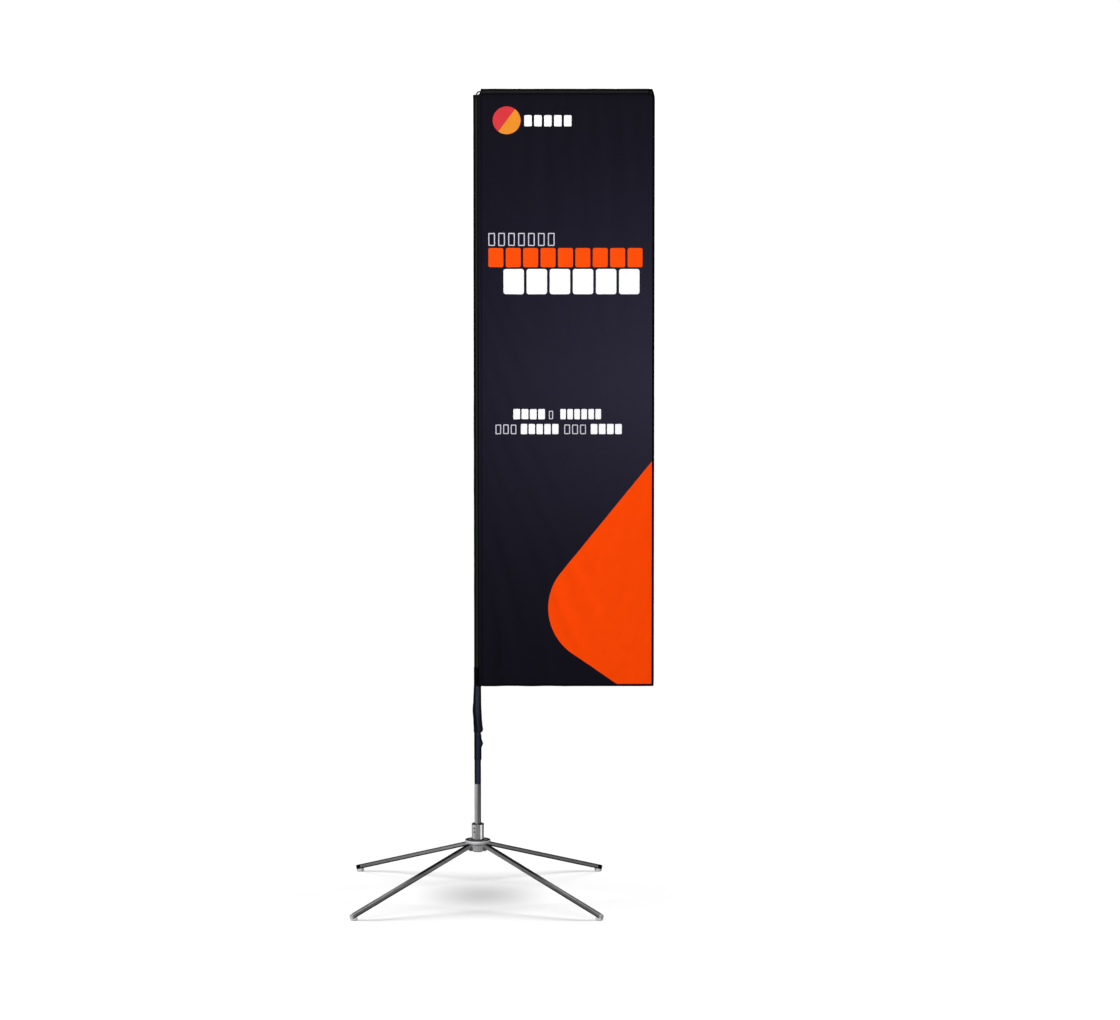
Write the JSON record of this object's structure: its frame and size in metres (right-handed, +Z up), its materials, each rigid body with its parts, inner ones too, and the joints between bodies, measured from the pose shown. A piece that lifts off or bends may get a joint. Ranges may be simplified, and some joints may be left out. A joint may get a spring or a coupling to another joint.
{
  "type": "banner flag with pole and folding leg base",
  "caption": "Tall rectangular banner flag on a pole with an arm over its top edge, turning in the socket of a folding four-leg base.",
  "frame": {"origin": "on the pole's axis at floor level, midway between the four feet", "axes": "+Z up along the pole, +X the way the flag flies, its face towards -Y"},
  "size_m": [1.0073, 0.8384, 2.7121],
  "materials": {
    "satin_steel": "satin chrome plating",
    "satin_steel_tube": "satin grey plating with drawing lines along the tube",
    "polished_steel": "polished",
    "zinc_steel": "bright zinc",
    "black_steel": "black oxide",
    "nylon": "natural moulded nylon",
    "anodised_tube": "silver anodised",
    "composite_pole": "glossy dark navy glass-fibre tube",
    "composite_arm": "pultruded black glass fibre",
    "black_wire": "black powder coat on steel wire",
    "black_plastic": "moulded",
    "black_rubber": "moulded",
    "foot_pad": "pale grey soft pad",
    "printed_cloth": "knitted polyester, dye-printed dark indigo with an orange shape and plain bars",
    "sleeve_cloth": "black polyester",
    "patch_cloth": "black doubled polyester",
    "tail_cloth": "dark navy polyester",
    "binding_tape": "black woven tape",
    "strap_webbing": "dark navy hook-and-loop strap"
  },
  "bodies": {
    "hub": {"hub_body": "satin_steel", "leg_pivot_pins": "zinc_steel", "upper_bush": "nylon", "lower_bush": "nylon", "thrust_washer": "nylon"},
    "turntable": {"turntable_plate": "satin_steel", "spindle_tube": "polished_steel", "socket_floor": "zinc_steel", "socket_tube": "polished_steel", "reducer_bushing": "nylon", "set_screw_upper": "black_steel", "set_screw_lower": "black_steel", "retaining_washer": "zinc_steel", "retaining_ring": "black_steel"},
    "mast": {"pole_foot": "anodised_tube", "foot_ferrule": "anodised_tube", "base_section": "composite_pole", "mid_ferrule": "anodised_tube", "top_section": "composite_pole", "top_plug": "black_plastic", "corner_wire": "black_wire", "arm_ferrule": "anodised_tube", "arm_rod": "composite_arm", "arm_cap": "black_rubber", "flag_panel": "printed_cloth", "edge_binding": "binding_tape", "pole_sleeve": "sleeve_cloth", "arm_sleeve": "sleeve_cloth", "corner_patch": "binding_tape", "corner_rivet": "zinc_steel", "sleeve_patch": "patch_cloth", "sleeve_tail": "tail_cloth", "tension_strap": "strap_webbing"},
    "leg_1": {"leg_tube_1": "satin_steel_tube", "heel_plug_1": "nylon", "end_plug_1": "black_plastic", "foot_1": "foot_pad"},
    "leg_2": {"leg_tube_2": "satin_steel_tube", "heel_plug_2": "nylon", "end_plug_2": "black_plastic", "foot_2": "foot_pad"},
    "leg_3": {"leg_tube_3": "satin_steel_tube", "heel_plug_3": "nylon", "end_plug_3": "black_plastic", "foot_3": "foot_pad"},
    "leg_4": {"leg_tube_4": "satin_steel_tube", "heel_plug_4": "nylon", "end_plug_4": "black_plastic", "foot_4": "foot_pad"}
  },
  "joints": [
    {"name": "leg_1_fold", "type": "hinge", "parent": "hub", "child": "leg_1", "pos_m": [0.01838, 0.01838, 0.17799], "axis": [-0.7071, 0.7071, 0], "range_deg": [0, 73.5]},
    {"name": "leg_2_fold", "type": "hinge", "parent": "hub", "child": "leg_2", "pos_m": [-0.01838, 0.01838, 0.17799], "axis": [-0.7071, -0.7071, 0], "range_deg": [0, 73.5]},
    {"name": "leg_3_fold", "type": "hinge", "parent": "hub", "child": "leg_3", "pos_m": [-0.01838, -0.01838, 0.17799], "axis": [0.7071, -0.7071, 0], "range_deg": [0, 73.5]},
    {"name": "leg_4_fold", "type": "hinge", "parent": "hub", "child": "leg_4", "pos_m": [0.01838, -0.01838, 0.17799], "axis": [0.7071, 0.7071, 0], "range_deg": [0, 73.5]},
    {"name": "turntable_turn", "type": "hinge", "parent": "hub", "child": "turntable", "pos_m": [0, 0, 0.1864], "axis": [0, 0, 1], "continuous": true},
    {"name": "mast_lift", "type": "slide", "parent": "turntable", "child": "mast", "axis": [0, 0, 1], "range_m": [0, 0.08]}
  ]
}
